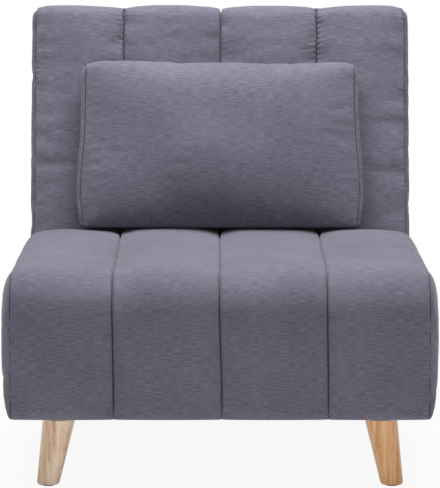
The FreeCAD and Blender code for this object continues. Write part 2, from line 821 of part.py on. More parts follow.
doc.recompute()
for obj in doc.Objects:
    if "Invalid" in obj.State or "Error" in obj.State:
        raise RuntimeError(f"{obj.Name} failed: {obj.State}")
for obj in PIECES:
    if obj.Shape.isNull() or not obj.Shape.isValid():
        raise RuntimeError(f"{obj.Label} has no valid shape")
os.makedirs("parts", exist_ok=True)
for obj in PIECES:
    obj.Shape.exportStep(f"parts/{obj.Label}.step")
print(len(PIECES), "pieces, recline axis at", round(hinge_y, 2), round(hinge_z, 2))
print("flip axis at", back_frame.multVec(V(0, flip_y, flip_z)))
print("folding leg axis at", back_frame.multVec(V(0, leg_axis_y, leg_low)))
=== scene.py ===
import math
import bpy
import bmesh
import numpy as np
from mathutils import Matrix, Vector


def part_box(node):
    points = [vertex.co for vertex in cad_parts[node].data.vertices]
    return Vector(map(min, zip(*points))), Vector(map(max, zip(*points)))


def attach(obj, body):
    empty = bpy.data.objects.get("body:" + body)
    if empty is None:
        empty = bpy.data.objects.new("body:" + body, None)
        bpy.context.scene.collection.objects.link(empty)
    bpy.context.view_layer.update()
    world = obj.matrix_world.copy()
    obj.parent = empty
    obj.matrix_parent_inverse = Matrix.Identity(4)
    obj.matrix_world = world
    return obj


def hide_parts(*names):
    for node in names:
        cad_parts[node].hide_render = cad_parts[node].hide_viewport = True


# A convertible chair bed in grey-violet woven upholstery: a channelled seat block, a channelled back with a
# head section folded behind it, a boxed lumbar pillow and splayed rubberwood legs. Metres, +Z up, +Y to the rear.

MM = 0.001
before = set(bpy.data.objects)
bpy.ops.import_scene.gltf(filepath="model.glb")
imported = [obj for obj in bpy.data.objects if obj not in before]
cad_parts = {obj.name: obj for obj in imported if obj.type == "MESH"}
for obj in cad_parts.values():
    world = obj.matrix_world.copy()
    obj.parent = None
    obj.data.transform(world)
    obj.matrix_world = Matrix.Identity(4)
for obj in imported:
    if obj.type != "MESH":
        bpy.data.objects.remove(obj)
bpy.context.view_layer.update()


# Nodes and colours

def linear(hex_colour):
    """sRGB hex to linear RGBA: c/12.92 below 0.04045, else ((c + 0.055)/1.055)^2.4."""
    values = [int(hex_colour[i:i + 2], 16) / 255 for i in (1, 3, 5)]
    return [v / 12.92 if v <= 0.04045 else ((v + 0.055) / 1.055) ** 2.4 for v in values] + [1.0]


def node(tree, kind, settings=None, **inputs):
    """Adds one node: its settings, then a value or a link for each input.

    An input is named with _ for a space, or i0, i1 and so on for its number."""
    made = tree.nodes.new(kind)
    for key, value in (settings or {}).items():
        setattr(made, key, value)
    for key, value in inputs.items():
        numbered = key[0] == "i" and key[1:].isdigit()
        socket = made.inputs[int(key[1:]) if numbered else key.replace("_", " ")]
        if isinstance(value, bpy.types.NodeSocket):
            tree.links.new(value, socket)
        else:
            socket.default_value = value
    return made


def material(name):
    """A new material, its tree and its Principled shader."""
    made = bpy.data.materials.new(name)
    made.use_nodes = True
    tree = made.node_tree
    return made, tree, tree.nodes["Principled BSDF"]


def ramp(tree, factor, stops):
    """A colour ramp from (place, hex) stops."""
    made = node(tree, "ShaderNodeValToRGB", Fac=factor)
    elements = made.color_ramp.elements
    while len(elements) < len(stops):
        elements.new(0.5)
    for element, (place, colour) in zip(elements, stops):
        element.position = place
        element.color = linear(colour)
    return made.outputs["Color"]


def woven_linen(name, dark, mid, light):
    """Linen-look polyester, woven with uneven weft: matt, fine slubs running across the piece, a faint sheen.

    The thread spacing is about 0.6 mm on the real cloth. Slubs of 18 by 1.6 mm and threads of 3 by 1.2 mm are
    drawn, so that they show."""
    made, tree, shader = material(name)
    uv = node(tree, "ShaderNodeUVMap", {"uv_map": "cloth"}).outputs["UV"]
    across = node(tree, "ShaderNodeMapping", Vector=uv, Scale=(1 / (18.0 * MM), 1 / (1.6 * MM), 1))
    slub = node(tree, "ShaderNodeTexNoise", Vector=across.outputs[0], Scale=1.0, Detail=3.0, Roughness=0.6)
    patch = node(tree, "ShaderNodeTexNoise", Vector=uv, Scale=1 / 0.16, Detail=2.0, Roughness=0.5)
    fine = node(tree, "ShaderNodeMapping", Vector=uv, Scale=(1 / (3.0 * MM), 1 / (1.2 * MM), 1))
    thread = node(tree, "ShaderNodeTexNoise", Vector=fine.outputs[0], Scale=1.0, Detail=2.0, Roughness=0.7)
    faint = node(tree, "ShaderNodeMath", {"operation": "MULTIPLY"}, i0=thread.outputs["Fac"], i1=0.36)
    mixed = node(tree, "ShaderNodeMath", {"operation": "MULTIPLY_ADD"},
                 i0=slub.outputs["Fac"], i1=0.50, i2=faint.outputs[0])
    total = node(tree, "ShaderNodeMath", {"operation": "MULTIPLY_ADD"},
                 i0=patch.outputs["Fac"], i1=0.13, i2=mixed.outputs[0])
    colour = ramp(tree, total.outputs[0], [(0.38, dark), (0.50, mid), (0.63, light)])
    tree.links.new(colour, shader.inputs["Base Color"])
    shader.inputs["Roughness"].default_value = 0.88
    shader.inputs["Sheen Weight"].default_value = 0.22
    shader.inputs["Sheen Roughness"].default_value = 0.45
    shader.inputs["Specular IOR Level"].default_value = 0.25
    weave = node(tree, "ShaderNodeBump", Strength=0.55, Distance=0.9 * MM, Height=mixed.outputs[0])
    tree.links.new(weave.outputs[0], shader.inputs["Normal"])
    return made


def lacquered_rubberwood(name, pale, mid, deep, shift):
    """Rubberwood, turned and sanded, under satin lacquer: straight grain along the leg, small dark pores."""
    made, tree, shader = material(name)
    place = node(tree, "ShaderNodeTexCoord").outputs["Object"]
    grain = node(tree, "ShaderNodeMapping", Vector=place, Location=shift,
                 Scale=(1 / (10 * MM), 1 / (10 * MM), 1 / (160 * MM)))
    bend = node(tree, "ShaderNodeTexNoise", Vector=grain.outputs[0], Scale=0.8, Detail=4.0, Roughness=0.55,
                Distortion=0.6)
    pores = node(tree, "ShaderNodeMapping", Vector=place, Location=shift,
                 Scale=(1 / (1.2 * MM), 1 / (1.2 * MM), 1 / (18 * MM)))
    pore = node(tree, "ShaderNodeTexNoise", Vector=pores.outputs[0], Scale=1.0, Detail=2.0, Roughness=0.5)
    mixed = node(tree, "ShaderNodeMath", {"operation": "MULTIPLY_ADD"},
                 i0=pore.outputs["Fac"], i1=0.22, i2=bend.outputs["Fac"])
    colour = ramp(tree, mixed.outputs[0], [(0.44, deep), (0.57, mid), (0.72, pale)])
    tree.links.new(colour, shader.inputs["Base Color"])
    shader.inputs["Roughness"].default_value = 0.36
    shader.inputs["Coat Weight"].default_value = 0.6
    shader.inputs["Coat Roughness"].default_value = 0.18
    bump = node(tree, "ShaderNodeBump", Strength=0.25, Distance=0.4 * MM, Height=pore.outputs["Fac"])
    tree.links.new(bump.outputs[0], shader.inputs["Normal"])
    return made


def grained(name, base, second, size_mm, roughness, metallic=0.0, bump_mm=0.1, stretch=(1, 1, 1)):
    """A plain finish broken up by one noise: its colour drifts between two near tones, its surface is uneven."""
    made, tree, shader = material(name)
    place = node(tree, "ShaderNodeTexCoord").outputs["Object"]
    scaled = node(tree, "ShaderNodeMapping", Vector=place, Scale=[s / (size_mm * MM) for s in stretch])
    noise = node(tree, "ShaderNodeTexNoise", Vector=scaled.outputs[0], Scale=1.0, Detail=4.0, Roughness=0.6)
    colour = ramp(tree, noise.outputs["Fac"], [(0.35, base), (0.65, second)])
    tree.links.new(colour, shader.inputs["Base Color"])
    worn = node(tree, "ShaderNodeMapRange", Value=noise.outputs["Fac"],
                To_Min=roughness - 0.07, To_Max=roughness + 0.07)
    tree.links.new(worn.outputs[0], shader.inputs["Roughness"])
    shader.inputs["Metallic"].default_value = metallic
    bump = node(tree, "ShaderNodeBump", Strength=0.4, Distance=bump_mm * MM, Height=noise.outputs["Fac"])
    tree.links.new(bump.outputs[0], shader.inputs["Normal"])
    return made


LINEN = woven_linen("woven_linen_grey_violet", "#575462", "#6d6979", "#858191")
# Painted seam shade: a near-black linen for the faces beside each seam, standing in for the shadow in the seam's
# crease, not a thread colour
SEAM_SHADE_PAINT = woven_linen("painted_seam_shade", "#24222b", "#2e2b36", "#383541")
LEG_PALE = lacquered_rubberwood("lacquered_rubberwood_pale", "#fbe2c6", "#e8c29c", "#c08e66", (0.11, 0.03, 0.2))
LEG_GOLD = lacquered_rubberwood("lacquered_rubberwood_gold", "#f3be83", "#de9b5d", "#b26a33", (0.27, 0.11, 0.4))
BEECH_PLY = grained("sanded_beech_plywood", "#c7a57a", "#b8936a", 9, 0.62, stretch=(0.12, 1, 1))
PINE = grained("planed_pine", "#d8b98a", "#c9a473", 8, 0.6, stretch=(0.1, 1, 1))
POWDER_COAT = grained("black_powder_coat", "#17171a", "#202024", 1.6, 0.48, bump_mm=0.06)
ZINC = grained("bright_zinc_plate", "#b9bcc2", "#a3a6ad", 3, 0.32, metallic=1.0, bump_mm=0.03)
BLACK_ZINC = grained("black_zinc_plate", "#2c2d31", "#232428", 3, 0.45, metallic=0.8, bump_mm=0.03)
GLIDE_NYLON = grained("black_moulded_nylon", "#141416", "#1c1c1f", 2, 0.55, bump_mm=0.05)
RUBBER = grained("black_rubber", "#0f0f10", "#19191a", 2.5, 0.8, bump_mm=0.1)
SPUNBOND = grained("black_spunbond_cloth", "#151518", "#222227", 1.2, 0.95, bump_mm=0.25)
WEBBING = grained("elastic_webbing", "#25252a", "#3a3a40", 1.5, 0.85, bump_mm=0.2, stretch=(0.3, 1, 1))

# The CAD nodes that keep their shape get these finishes
FINISHES = {
    LEG_PALE: ("front_leg_left", "rear_leg_left"),
    LEG_GOLD: ("front_leg_right", "rear_leg_right"),
    BEECH_PLY: ("back_board", "head_board"),
    PINE: ("timber_rail_left", "timber_rail_right", "timber_rail_front", "timber_rail_rear"),
    POWDER_COAT: ("base_rail_left", "base_rail_right", "cross_tubes", "hinge_bracket_left",
                  "hinge_bracket_right", "hinge_arm_left", "hinge_arm_right", "head_leg", "leg_brackets"),
    ZINC: ("leg_plates", "leg_bolts", "hinge_pins", "hinge_washers", "arm_bolts", "leg_pins", "rail_bolts"),
    BLACK_ZINC: ("flip_hinge_back_leaves", "flip_hinge_head_leaves", "flip_hinge_pins"),
    GLIDE_NYLON: ("foot_glides", "rail_end_caps"),
    RUBBER: ("leg_sleeves",),
    SPUNBOND: ("dust_cloth",),
    WEBBING: ("webbing_straps",),
}
for finish, names in FINISHES.items():
    for name in names:
        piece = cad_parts[name]
        piece.data.materials.clear()
        piece.data.materials.append(finish)


# Surfaces. A cushion is a grid of points: its rows lie across the cushion and its columns go round it.

def tube_mesh(name, points, along, across, sewn_rows):
    """A closed mesh from a cushion's grid, its ends capped and the faces beside its seams in the second material, a
    dark painted shade that stands in for the shadow in each seam's crease.

    The cloth UV is (across, along) in metres. along has one value more than there are columns: the loop's length."""
    rows, columns = points.shape[:2]
    index = np.arange(rows * columns).reshape(rows, columns)
    turned = np.roll(index, -1, axis=1)
    quads = np.stack([index[:-1], turned[:-1], turned[1:], index[1:]], axis=-1).reshape(-1, 4)
    cap_faces = [index[0][::-1].tolist(), index[-1].tolist()]
    mesh = bpy.data.meshes.new(name)
    mesh.from_pydata(points.reshape(-1, 3).tolist(), [], quads.tolist() + cap_faces)
    low, high = np.tile(along[:-1], rows - 1), np.tile(along[1:], rows - 1)
    left, right = np.repeat(across[:-1], columns), np.repeat(across[1:], columns)
    corners = np.stack([left, low, left, high, right, high, right, low], axis=1).reshape(-1, 2)
    first_cap = np.stack([np.full(columns, across[0]), along[:-1]], axis=1)[::-1]
    last_cap = np.stack([np.full(columns, across[-1]), along[:-1]], axis=1)
    uv = np.concatenate([corners, first_cap, last_cap]).astype(np.float32)
    mesh.uv_layers.new(name="cloth").data.foreach_set("uv", uv.ravel())
    # The faces beside the sewn rows take material 1: painted shade in place of the shadow in the seam creases
    beside = np.repeat(sewn_rows[:-1] | sewn_rows[1:], columns)
    mesh.polygons.foreach_set("material_index", np.concatenate([beside, [0, 0]]).astype(np.int32))
    mesh.polygons.foreach_set("use_smooth", [True] * len(mesh.polygons))
    return mesh


def finer(values, wrap, axis=0):
    """Puts a new row between every two, the four-point mean (9 (b + c) - a - d) / 16. The old rows stay."""
    values = np.moveaxis(values, axis, 0)
    if wrap:
        before, after, next_after = np.roll(values, 1, 0), np.roll(values, -1, 0), np.roll(values, -2, 0)
        between = (9 * (values + after) - before - next_after) / 16
        made = np.stack([values, between], axis=1).reshape(-1, *values.shape[1:])
    else:
        padded = np.concatenate([2 * values[:1] - values[1:2], values, 2 * values[-1:] - values[-2:-1]])
        between = (9 * (padded[1:-2] + padded[2:-1]) - padded[:-3] - padded[3:]) / 16
        made = np.stack([values[:-1], between], axis=1).reshape(-1, *values.shape[1:])
        made = np.concatenate([made, values[-1:]])
    return np.moveaxis(made, 0, axis)


def outward(piece):
    """Turns all faces of a closed piece outwards."""
    work = bmesh.new()
    work.from_mesh(piece.data)
    bmesh.ops.recalc_face_normals(work, faces=work.faces)
    work.to_mesh(piece.data)
    work.free()


RIPPLE_WAVES = 14


def ripple(u, v, seed, low=1.0, high=3.0):
    """Soft unevenness of about -1 to 1: a sum of sine waves in seeded directions, phases and rates."""
    rng = np.random.default_rng(seed)
    total = np.zeros(np.broadcast(u, v).shape)
    for _ in range(RIPPLE_WAVES):
        angle, phase, rate = rng.uniform(0, 2 * np.pi), rng.uniform(0, 2 * np.pi), rng.uniform(low, high)
        total = total + np.sin(rate * (u * np.cos(angle) + v * np.sin(angle)) + phase)
    return total / np.sqrt(RIPPLE_WAVES)


def corner_loop(corners, core, step):
    """Points round a polygon with rounded corners, and the same stations on its core.

    Each corner is (a, b, radius): an arc tangent to both sides, then a straight run to the next corner. The core
    polygon has as many corners. Returns the outer points, the core points and the distance along the loop."""
    count = len(corners)
    arcs = []
    for i, (a, b, radius) in enumerate(corners):
        here = np.array([a, b])
        before = np.array(corners[i - 1][:2]) - here
        after = np.array(corners[(i + 1) % count][:2]) - here
        before, after = before / np.linalg.norm(before), after / np.linalg.norm(after)
        half = math.acos(float(np.clip(before @ after, -1, 1))) / 2
        turn = math.pi - 2 * half
        bisector = (before + after) / np.linalg.norm(before + after)
        centre = here + bisector * radius / math.sin(half)
        start, end = here + before * radius / math.tan(half), here + after * radius / math.tan(half)
        sweep = np.linspace(0, 1, max(4, int(radius * turn / step)) + 1)[:, None]
        towards_start = np.sin((1 - sweep) * turn) / math.sin(turn)
        towards_end = np.sin(sweep * turn) / math.sin(turn)
        arcs.append(centre + towards_start * (start - centre) + towards_end * (end - centre))
    outer, inner = [], []
    for i, arc in enumerate(arcs):
        following = arcs[(i + 1) % count][0]
        length = np.linalg.norm(following - arc[-1])
        share = np.linspace(0, 1, max(3, int(length / step)) + 1)[1:-1, None]
        here, there = np.array(core[i]), np.array(core[(i + 1) % count])
        outer += [arc, arc[-1] + (following - arc[-1]) * share]
        inner += [np.repeat(here[None], len(arc), 0), here + (there - here) * share]
    outer, inner = np.concatenate(outer), np.concatenate(inner)
    gaps = np.linalg.norm(np.diff(np.vstack([outer, outer[:1]]), axis=0), axis=1)
    return outer, inner, np.concatenate([[0], np.cumsum(gaps)[:-1]])


BESIDE_SEAM = np.array([0.0, 0.9, 2.4, 4.6, 7.6]) * MM


def stations(seams, step):
    """Places across a cushion, close together beside every seam and wider apart between."""
    places = []
    for left, right in zip(seams, seams[1:]):
        start, stop = left + BESIDE_SEAM[-1], right - BESIDE_SEAM[-1]
        middle = np.linspace(start, stop, max(4, int((right - left) / step)))
        places += [left + BESIDE_SEAM[:-1], middle, right - BESIDE_SEAM[:-1][::-1]]
    return np.unique(np.round(np.concatenate(places), 7))


SIMULATED_FRAMES = 20


def fill(name, points, along, across, sewn_rows, held, force, slack, most):
    """Fills a cover by cloth simulation, on a draft that is removed again.

    Pressure swells it between its sewn and supported points, and the slack in the cloth gathers into puckers. A
    point that would move by d moves by most * tanh(d / most)."""
    scene = bpy.context.scene
    draft = bpy.data.objects.new(name, tube_mesh(name, points, along, across, sewn_rows))
    scene.collection.objects.link(draft)
    outward(draft)
    group = draft.vertex_groups.new(name="held")
    weights = held.ravel()
    for weight in np.unique(weights[weights > 0]):
        group.add(np.flatnonzero(weights == weight).tolist(), float(weight), "REPLACE")
    cloth = draft.modifiers.new("fill", "CLOTH")
    settings = cloth.settings
    settings.quality = 3
    settings.mass = 0.25
    settings.tension_stiffness = settings.compression_stiffness = 18
    settings.shear_stiffness = 6
    settings.bending_stiffness = 0.35
    settings.use_pressure = True
    settings.uniform_pressure_force = force
    settings.shrink_min = -slack
    settings.vertex_group_mass = "held"
    settings.effector_weights.gravity = 0
    cloth.point_cache.frame_start, cloth.point_cache.frame_end = 1, SIMULATED_FRAMES
    for number in range(1, SIMULATED_FRAMES + 1):
        scene.frame_set(number)
    after = np.empty(points.size)
    filled = draft.evaluated_get(bpy.context.evaluated_depsgraph_get())
    filled.to_mesh().vertices.foreach_get("co", after)
    filled.to_mesh_clear()
    scene.frame_set(1)
    bpy.data.meshes.remove(draft.data)
    move = after.reshape(points.shape) - points
    length = np.maximum(np.linalg.norm(move, axis=2), 1e-9)[:, :, None]
    return points + move * most * np.tanh(length / most) / length


def gathered(points, gap, channel, rest, along, seed, depth, length, pitch, where):
    """Presses short gathers into the cloth beside its seams, square to each seam and in clusters along it.

    The depth along the inward normal is depth * max(0, sin(2 pi v / pitch))^2 * exp(-(gap / length)^2), with the
    length varied and the pitch drifting along the seam. channel tells the sides of the seams apart."""
    normal = np.cross(np.gradient(points, axis=0), np.roll(points, -1, axis=1) - np.roll(points, 1, axis=1))
    normal = normal / np.maximum(np.linalg.norm(normal, axis=2), 1e-12)[:, :, None]
    normal = normal * np.sign((normal * (points - points.mean(axis=(0, 1)))).sum())
    v, phase, gap = along[None], channel[:, None] * 2.4, gap[:, None]
    drift = 1.6 * ripple(phase * 3, v * 30, seed)
    turn = 2 * np.pi * (v + 0.25 * gap * np.sin(phase)) / pitch + phase + drift
    cluster = np.clip(0.6 + 0.9 * ripple(phase * 5, v * 22, seed + 1), 0, 1)
    reach = length * (0.65 + 0.5 * np.clip(ripple(phase * 7, v * 110, seed + 2), -0.7, 1.2))
    beside = np.exp(-(gap / reach) ** 2) * (1 - np.exp(-gap / MM))
    press = depth * np.clip(np.sin(turn), 0, 1) ** 2 * cluster * beside
    return points - normal * (press * (1 - rest)[None] * where(points))[:, :, None]


# Depths and widths at the seams: the two outer seams are shallow and topstitched, the inner ones deep creases
INNER_CREASE, OUTER_CREASE, CREASE_WIDTH = 6.0 * MM, 2.6 * MM, 1.8 * MM
TOPSTITCH_DEPTH, TOPSTITCH_AWAY, TOPSTITCH_WIDTH = 0.9 * MM, 6.3 * MM, 1.3 * MM
COVER_INSET, LEAST_INSET = 2.0 * MM, 0.2 * MM
PUCKER_DEPTH, PUCKER_REACH, PUCKER_PITCH = 1.1 * MM, 26 * MM, 6.5 * MM
HELD_WIDTH = 4 * MM


def sewn_inset(places, along, seams, nearest, distance, rest, crown, pucker, seed):
    """How deep the cover lies below its outline, for each place across and each station round the cushion.

    It is drawn in at each seam by crown * (1 - sin(pi t)^0.5), with t running from seam to seam, and by a crease
    exp(-(d / 1.8 mm)^2). Short puckers die away from the seam, and soft waves lie between. Where rest is 1 the
    cover lies flat."""
    which = np.clip(np.searchsorted(seams, places, side="right") - 1, 0, len(seams) - 2)
    t = np.clip((places - seams[which]) / (seams[which + 1] - seams[which]), 0, 1)
    at_end = (nearest == 0) | (nearest == len(seams) - 1)
    groove = crown * (1 - np.sin(np.pi * t) ** 0.5)
    crease = np.where(at_end, OUTER_CREASE, INNER_CREASE) * np.exp(-(distance / CREASE_WIDTH) ** 2)
    stitch = np.where(at_end, TOPSTITCH_DEPTH, 0) * np.exp(-((distance - TOPSTITCH_AWAY) / TOPSTITCH_WIDTH) ** 2)
    drawn = (groove + crease + stitch)[:, None] * (1 - 0.9 * rest)[None]
    u, v, away, loose = places[:, None], along[None], distance[:, None], (1 - rest)[None]
    side = np.sign(places - seams[nearest])[:, None]
    near = np.exp(-away / PUCKER_REACH) * (1 - np.exp(-away / (3 * MM))) * loose
    free = np.clip(away / (25 * MM), 0, 1) * loose
    puckers = PUCKER_DEPTH * near * ripple(u * 9 + side * 7, v / PUCKER_PITCH, seed, low=0.5, high=1.0)
    waves = 1.3 * MM * ripple(u * 13, v * 13, seed + 1) * free
    creases = 0.3 * MM * ripple(u * 40, v / (8 * MM), seed + 2) * free
    return np.maximum(drawn + COVER_INSET + pucker * (puckers + creases) + waves, LEAST_INSET)


def end_gusset(sign, inset, outer, inward, along, reach, shares, half_width, bulge, seed):
    """The rings of one end, from its seam outwards: their x and their sections.

    The loop shrinks towards its core by the shares r while it moves out, to
    x = half_width + bulge * (1 - (1 - r)^3.2)^(1 / 1.9), less shallow dimples."""
    grow = inset[None] + (reach - inset[None]) * shares[:, None]
    out = bulge * (1 - (1 - shares) ** 3.2) ** (1 / 1.9)
    dimple = 0.8 * MM * ripple(shares[:, None] * 18, along[None] * 22, seed) * np.sin(np.pi * shares[:, None])
    x = sign * (half_width + out[:, None] - np.abs(dimple))
    return x, outer[None] + inward[None] * grow[:, :, None]


def boxed(name, corners, core, reach, seams, bulge, crown, form, to_world, body, stands_for, seed, supported,
          step=10 * MM, pucker=1.0, tight=0.85, filling=(3.0, 0.008, 3.5 * MM), gathers=None):
    """A cushion of one wrapped panel, sewn into channels, with two swelling end gussets.

    corners and core give its section, seams the places of the seams across it. form bends the finished grid,
    to_world places it, supported tells where it rests on something, filling is (force, slack, most) of fill, and
    gathers is (depth, length, pitch, where) of gathered."""
    outer, inner, along = corner_loop(corners, core, step)
    inward = (inner - outer) / reach
    seams = np.array(seams)
    half_width = seams[-1]
    places = stations(seams, step)
    gap = np.abs(places[:, None] - seams[None])
    nearest, distance = np.argmin(gap, axis=1), gap.min(axis=1)
    rest = supported(outer[:, 0], outer[:, 1])

    # The panel, and a ring of rows for each end
    inset = sewn_inset(places, along, seams, nearest, distance, rest, crown, pucker, seed)
    wander = 1.5 * MM * ripple(0 * along[None], along[None] * 9, seed + 3)
    x = places[:, None] + wander * (1 - np.abs(places) / half_width)[:, None]
    section = outer[None] + inward[None] * inset[:, :, None]
    beside_end = np.array([0.7, 1.8, 3.4]) * MM / reach
    shares = np.concatenate([beside_end, np.linspace(0.05, 0.995, max(10, int(reach / step)))])
    x_left, section_left = end_gusset(-1, inset[0], outer, inward, along, reach, shares, half_width, bulge, seed + 4)
    x_right, section_right = end_gusset(1, inset[-1], outer, inward, along, reach, shares, half_width, bulge, seed + 6)
    x = np.concatenate([x_left[::-1], x, x_right])
    section = np.concatenate([section_left[::-1], section, section_right])
    rows, rings = len(x), len(shares)
    panel = slice(rings, rings + len(places))

    # Distances on the cloth, for its UV
    row_gaps = np.linalg.norm(np.diff(section, axis=0), axis=2).mean(axis=1) + np.abs(np.diff(x, axis=0)).mean(axis=1)
    across = np.concatenate([[0], np.cumsum(row_gaps)])
    around = np.append(along, along[-1] + np.linalg.norm(outer[0] - outer[-1]))

    if form:
        x, section = form(x, section)
    points = to_world(x, section[:, :, 0], section[:, :, 1])
    sewn_rows = np.zeros(rows, dtype=bool)
    sewn_rows[panel] = distance < 0.3 * MM
    tied = np.zeros(rows)
    tied[panel] = np.round(np.exp(-(distance / HELD_WIDTH) ** 2), 1)
    tied[[0, 1, -2, -1]] = 1.0
    held = np.maximum(tied[:, None], np.round(rest, 1)[None])
    points = fill(name + "_draft", points, around, across, sewn_rows, held, *filling)

    # Twice as many rows and columns, and four times as many columns where there are gathers
    points, around = finer(finer(points, False), True, axis=1), finer(around, False)
    sewn_rows = np.append(np.stack([sewn_rows[:-1], np.zeros(rows - 1, dtype=bool)], axis=1).ravel(), False)
    if gathers:
        points, around = finer(points, True, axis=1), finer(around, False)
        far_from_seams = 1.0
        seam_gap, channel = np.full(rows, far_from_seams), np.zeros(rows)
        seam_gap[panel] = distance
        channel[panel] = 2 * nearest + (places > seams[nearest])
        half_rows = np.arange(2 * rows - 1) / 2
        seam_gap = np.interp(half_rows, np.arange(rows), seam_gap)
        rest = finer(finer(rest, True), True)
        points = gathered(points, seam_gap, channel[half_rows.astype(int)], rest, around[:-1], seed + 40, *gathers)

    mesh = tube_mesh(name, points, around, finer(across, False), sewn_rows)
    mesh.materials.append(LINEN)
    # Material 1 is painted shade, laid on the faces beside the seams where the creases would be in shadow
    mesh.materials.append(SEAM_SHADE_PAINT)
    piece = bpy.data.objects.new(name, mesh)
    bpy.context.scene.collection.objects.link(piece)
    outward(piece)
    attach(piece, body)
    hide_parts(*stands_for)


# Places, from the frame

seat_low, seat_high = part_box("seat_cover")
SEAT_DEPTH = 588 * MM
SEAT_TOP = seat_high[2]
BLOCK_BOTTOM = seat_low[2]
SEAT_FRONT = seat_low[1]
BACK_LINE = SEAT_FRONT + SEAT_DEPTH
LEAN = math.radians(15)
CROWN = 8 * MM


def upright(x, y, z):
    """Points given in the chair's own frame."""
    return np.stack([x * np.ones_like(y), y, z], axis=-1)


def leaning(x, depth, height):
    """Points given in the back's frame: depth square to its face, height along it."""
    y = BACK_LINE + height * math.sin(LEAN) + depth * math.cos(LEAN)
    z = SEAT_TOP + height * math.cos(LEAN) - depth * math.sin(LEAN)
    return np.stack([x * np.ones_like(y), y, z], axis=-1)


# Seat block

SEAT_HALF = 380 * MM
SEAT_SEAM = 195 * MM
SEAT_SEAMS = [-SEAT_HALF, -SEAT_SEAM, 0.0, SEAT_SEAM, SEAT_HALF]
SEAT_REACH = 132 * MM
FRONT_SAG = 4 * MM          # the padding hangs this far below the timber at the front
FRONT_RADIUS = 72 * MM
EDGE_RADIUS = 20 * MM
UNDERCUT = 62 * MM          # how far the rear below the seat's lip lies in front of the back's line
LIP_HEIGHT = 70 * MM
SEAT_CORNERS = [
    (SEAT_FRONT, BLOCK_BOTTOM - FRONT_SAG, EDGE_RADIUS),
    (SEAT_FRONT, SEAT_TOP, FRONT_RADIUS),
    (BACK_LINE - 4 * MM, SEAT_TOP, 18 * MM),
    (BACK_LINE - UNDERCUT, SEAT_TOP - LIP_HEIGHT, EDGE_RADIUS),
    (BACK_LINE - UNDERCUT, BLOCK_BOTTOM, EDGE_RADIUS),
]
CORE_REAR = BACK_LINE - 190 * MM
CORE_HEIGHT = (SEAT_TOP + BLOCK_BOTTOM) / 2
SEAT_CORE = [
    (SEAT_FRONT + SEAT_REACH, CORE_HEIGHT - MM),
    (SEAT_FRONT + SEAT_REACH, CORE_HEIGHT + MM),
    (CORE_REAR, CORE_HEIGHT + MM),
    (CORE_REAR - 2 * MM, CORE_HEIGHT),
    (CORE_REAR, CORE_HEIGHT - MM),
]


def seat_supported(y, z):
    """1 on the underside, where the cover is stapled flat to the timber, 0 above it."""
    return np.clip((BLOCK_BOTTOM + 14 * MM - z) / (10 * MM), 0, 1)


def seat_form(x, section):
    """Draws the sides of the top in by up to 14 mm towards the rear and lifts its middle by 4 mm there."""
    y, z = section[:, :, 0], section[:, :, 1]
    rearward = np.clip((y - SEAT_FRONT - 60 * MM) / (SEAT_DEPTH - 60 * MM), 0, 1)
    upward = np.clip((z - SEAT_TOP + 90 * MM) / (90 * MM), 0, 1)
    u = np.clip(np.abs(x) / SEAT_HALF, 0, 1)
    x = x - np.sign(x) * 14 * MM * u ** 6 * rearward * upward
    z = z + 4 * MM * (1 - u ** 4) * (rearward * upward) ** 2
    return x, np.stack([y, z], axis=2)


boxed("seat_cover_linen", SEAT_CORNERS, SEAT_CORE, SEAT_REACH, SEAT_SEAMS, seat_high[0] - SEAT_HALF, CROWN,
      seat_form, upright, "base", ("seat_cover", "seat_foam"), seed=3, supported=seat_supported)


# Back and head section, in the back's frame: the head section is folded behind the back, its face to the rear

PANEL_HALF = 367 * MM
PANEL_SEAM = 192 * MM
PANEL_SEAMS = [-PANEL_HALF, -PANEL_SEAM, 0.0, PANEL_SEAM, PANEL_HALF]
PANEL_REACH = 40 * MM
PANEL_BULGE = 7 * MM
PANEL_TOP = 450 * MM
PANEL_RADIUS = 28 * MM
BOARD_RADIUS = 6 * MM
BACK_FACE, BACK_ON_BOARD, BACK_FOOT = 0.0, 83 * MM, -172 * MM
HEAD_FACE, HEAD_ON_BOARD, HEAD_FOOT = 214 * MM, 131 * MM, -60 * MM


def panel_shape(low, face, on_board):
    """The corners and core of a panel: round along its face, nearly square along its board."""
    middle = (face + on_board) / 2
    step = MM if on_board > face else -MM
    low_core, high_core = low + PANEL_REACH, PANEL_TOP - PANEL_REACH
    corners = [(on_board, low, BOARD_RADIUS), (face, low, PANEL_RADIUS),
               (face, PANEL_TOP, PANEL_RADIUS), (on_board, PANEL_TOP, BOARD_RADIUS)]
    core = [(middle + step, low_core), (middle - step, low_core),
            (middle - step, high_core), (middle + step, high_core)]
    return corners, core


def board_supported(on_board):
    """A function that is 1 on the side that lies on the board and 0 on the side that is leant on."""
    def share(depth, height):
        return np.clip(1 - np.abs(depth - on_board) / (12 * MM), 0, 1)
    return share


def towards_top(points):
    """1 at the top of the back, where the gathers are deepest, 0.3 below."""
    return 0.3 + 0.7 * np.clip((points[:, :, 2] - SEAT_TOP - 220 * MM) / (120 * MM), 0, 1)


boxed("back_cover_linen", *panel_shape(BACK_FOOT, BACK_FACE, BACK_ON_BOARD), PANEL_REACH, PANEL_SEAMS, PANEL_BULGE,
      CROWN, None, leaning, "back", ("back_cover", "back_foam"), seed=11, step=14 * MM, pucker=1.5,
      supported=board_supported(BACK_ON_BOARD), filling=(3.0, 0.004, 3.0 * MM),
      gathers=(3.3 * MM, 24 * MM, 10.5 * MM, towards_top))
boxed("head_cover_linen", *panel_shape(HEAD_FOOT, HEAD_FACE, HEAD_ON_BOARD), PANEL_REACH, PANEL_SEAMS, PANEL_BULGE,
      CROWN, None, leaning, "head", ("head_cover", "head_foam"), seed=19, supported=board_supported(HEAD_ON_BOARD))


# Pillow, in the back's frame too

